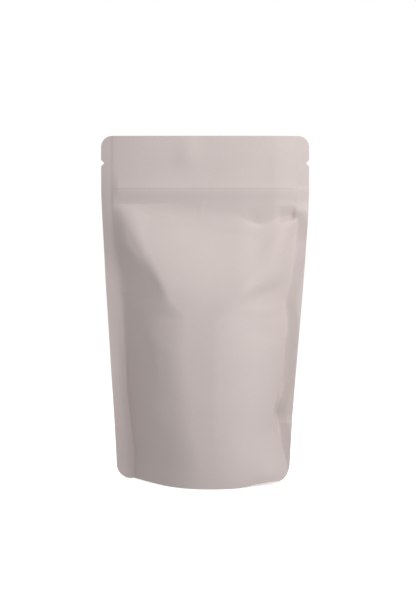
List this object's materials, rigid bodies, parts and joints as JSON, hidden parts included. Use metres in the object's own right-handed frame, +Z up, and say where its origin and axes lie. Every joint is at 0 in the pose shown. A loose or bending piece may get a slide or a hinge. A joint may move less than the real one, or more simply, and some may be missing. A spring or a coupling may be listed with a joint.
{
  "type": "stand-up pouch",
  "caption": "Shut stand-up pouch of matte coated kraft laminate, filled: flat zip header with tear notches, flat side seals, rounded belly and an opened bottom gusset it stands on.",
  "frame": {"origin": "on the surface it stands on, in the middle of the base", "axes": "+Z up, front panel facing -Y, side seals along X"},
  "size_m": [0.13, 0.0584, 0.216],
  "materials": {
    "coated_kraft": "matte"
  },
  "bodies": {
    "root": {"pouch": "coated_kraft"}
  },
  "joints": []
}
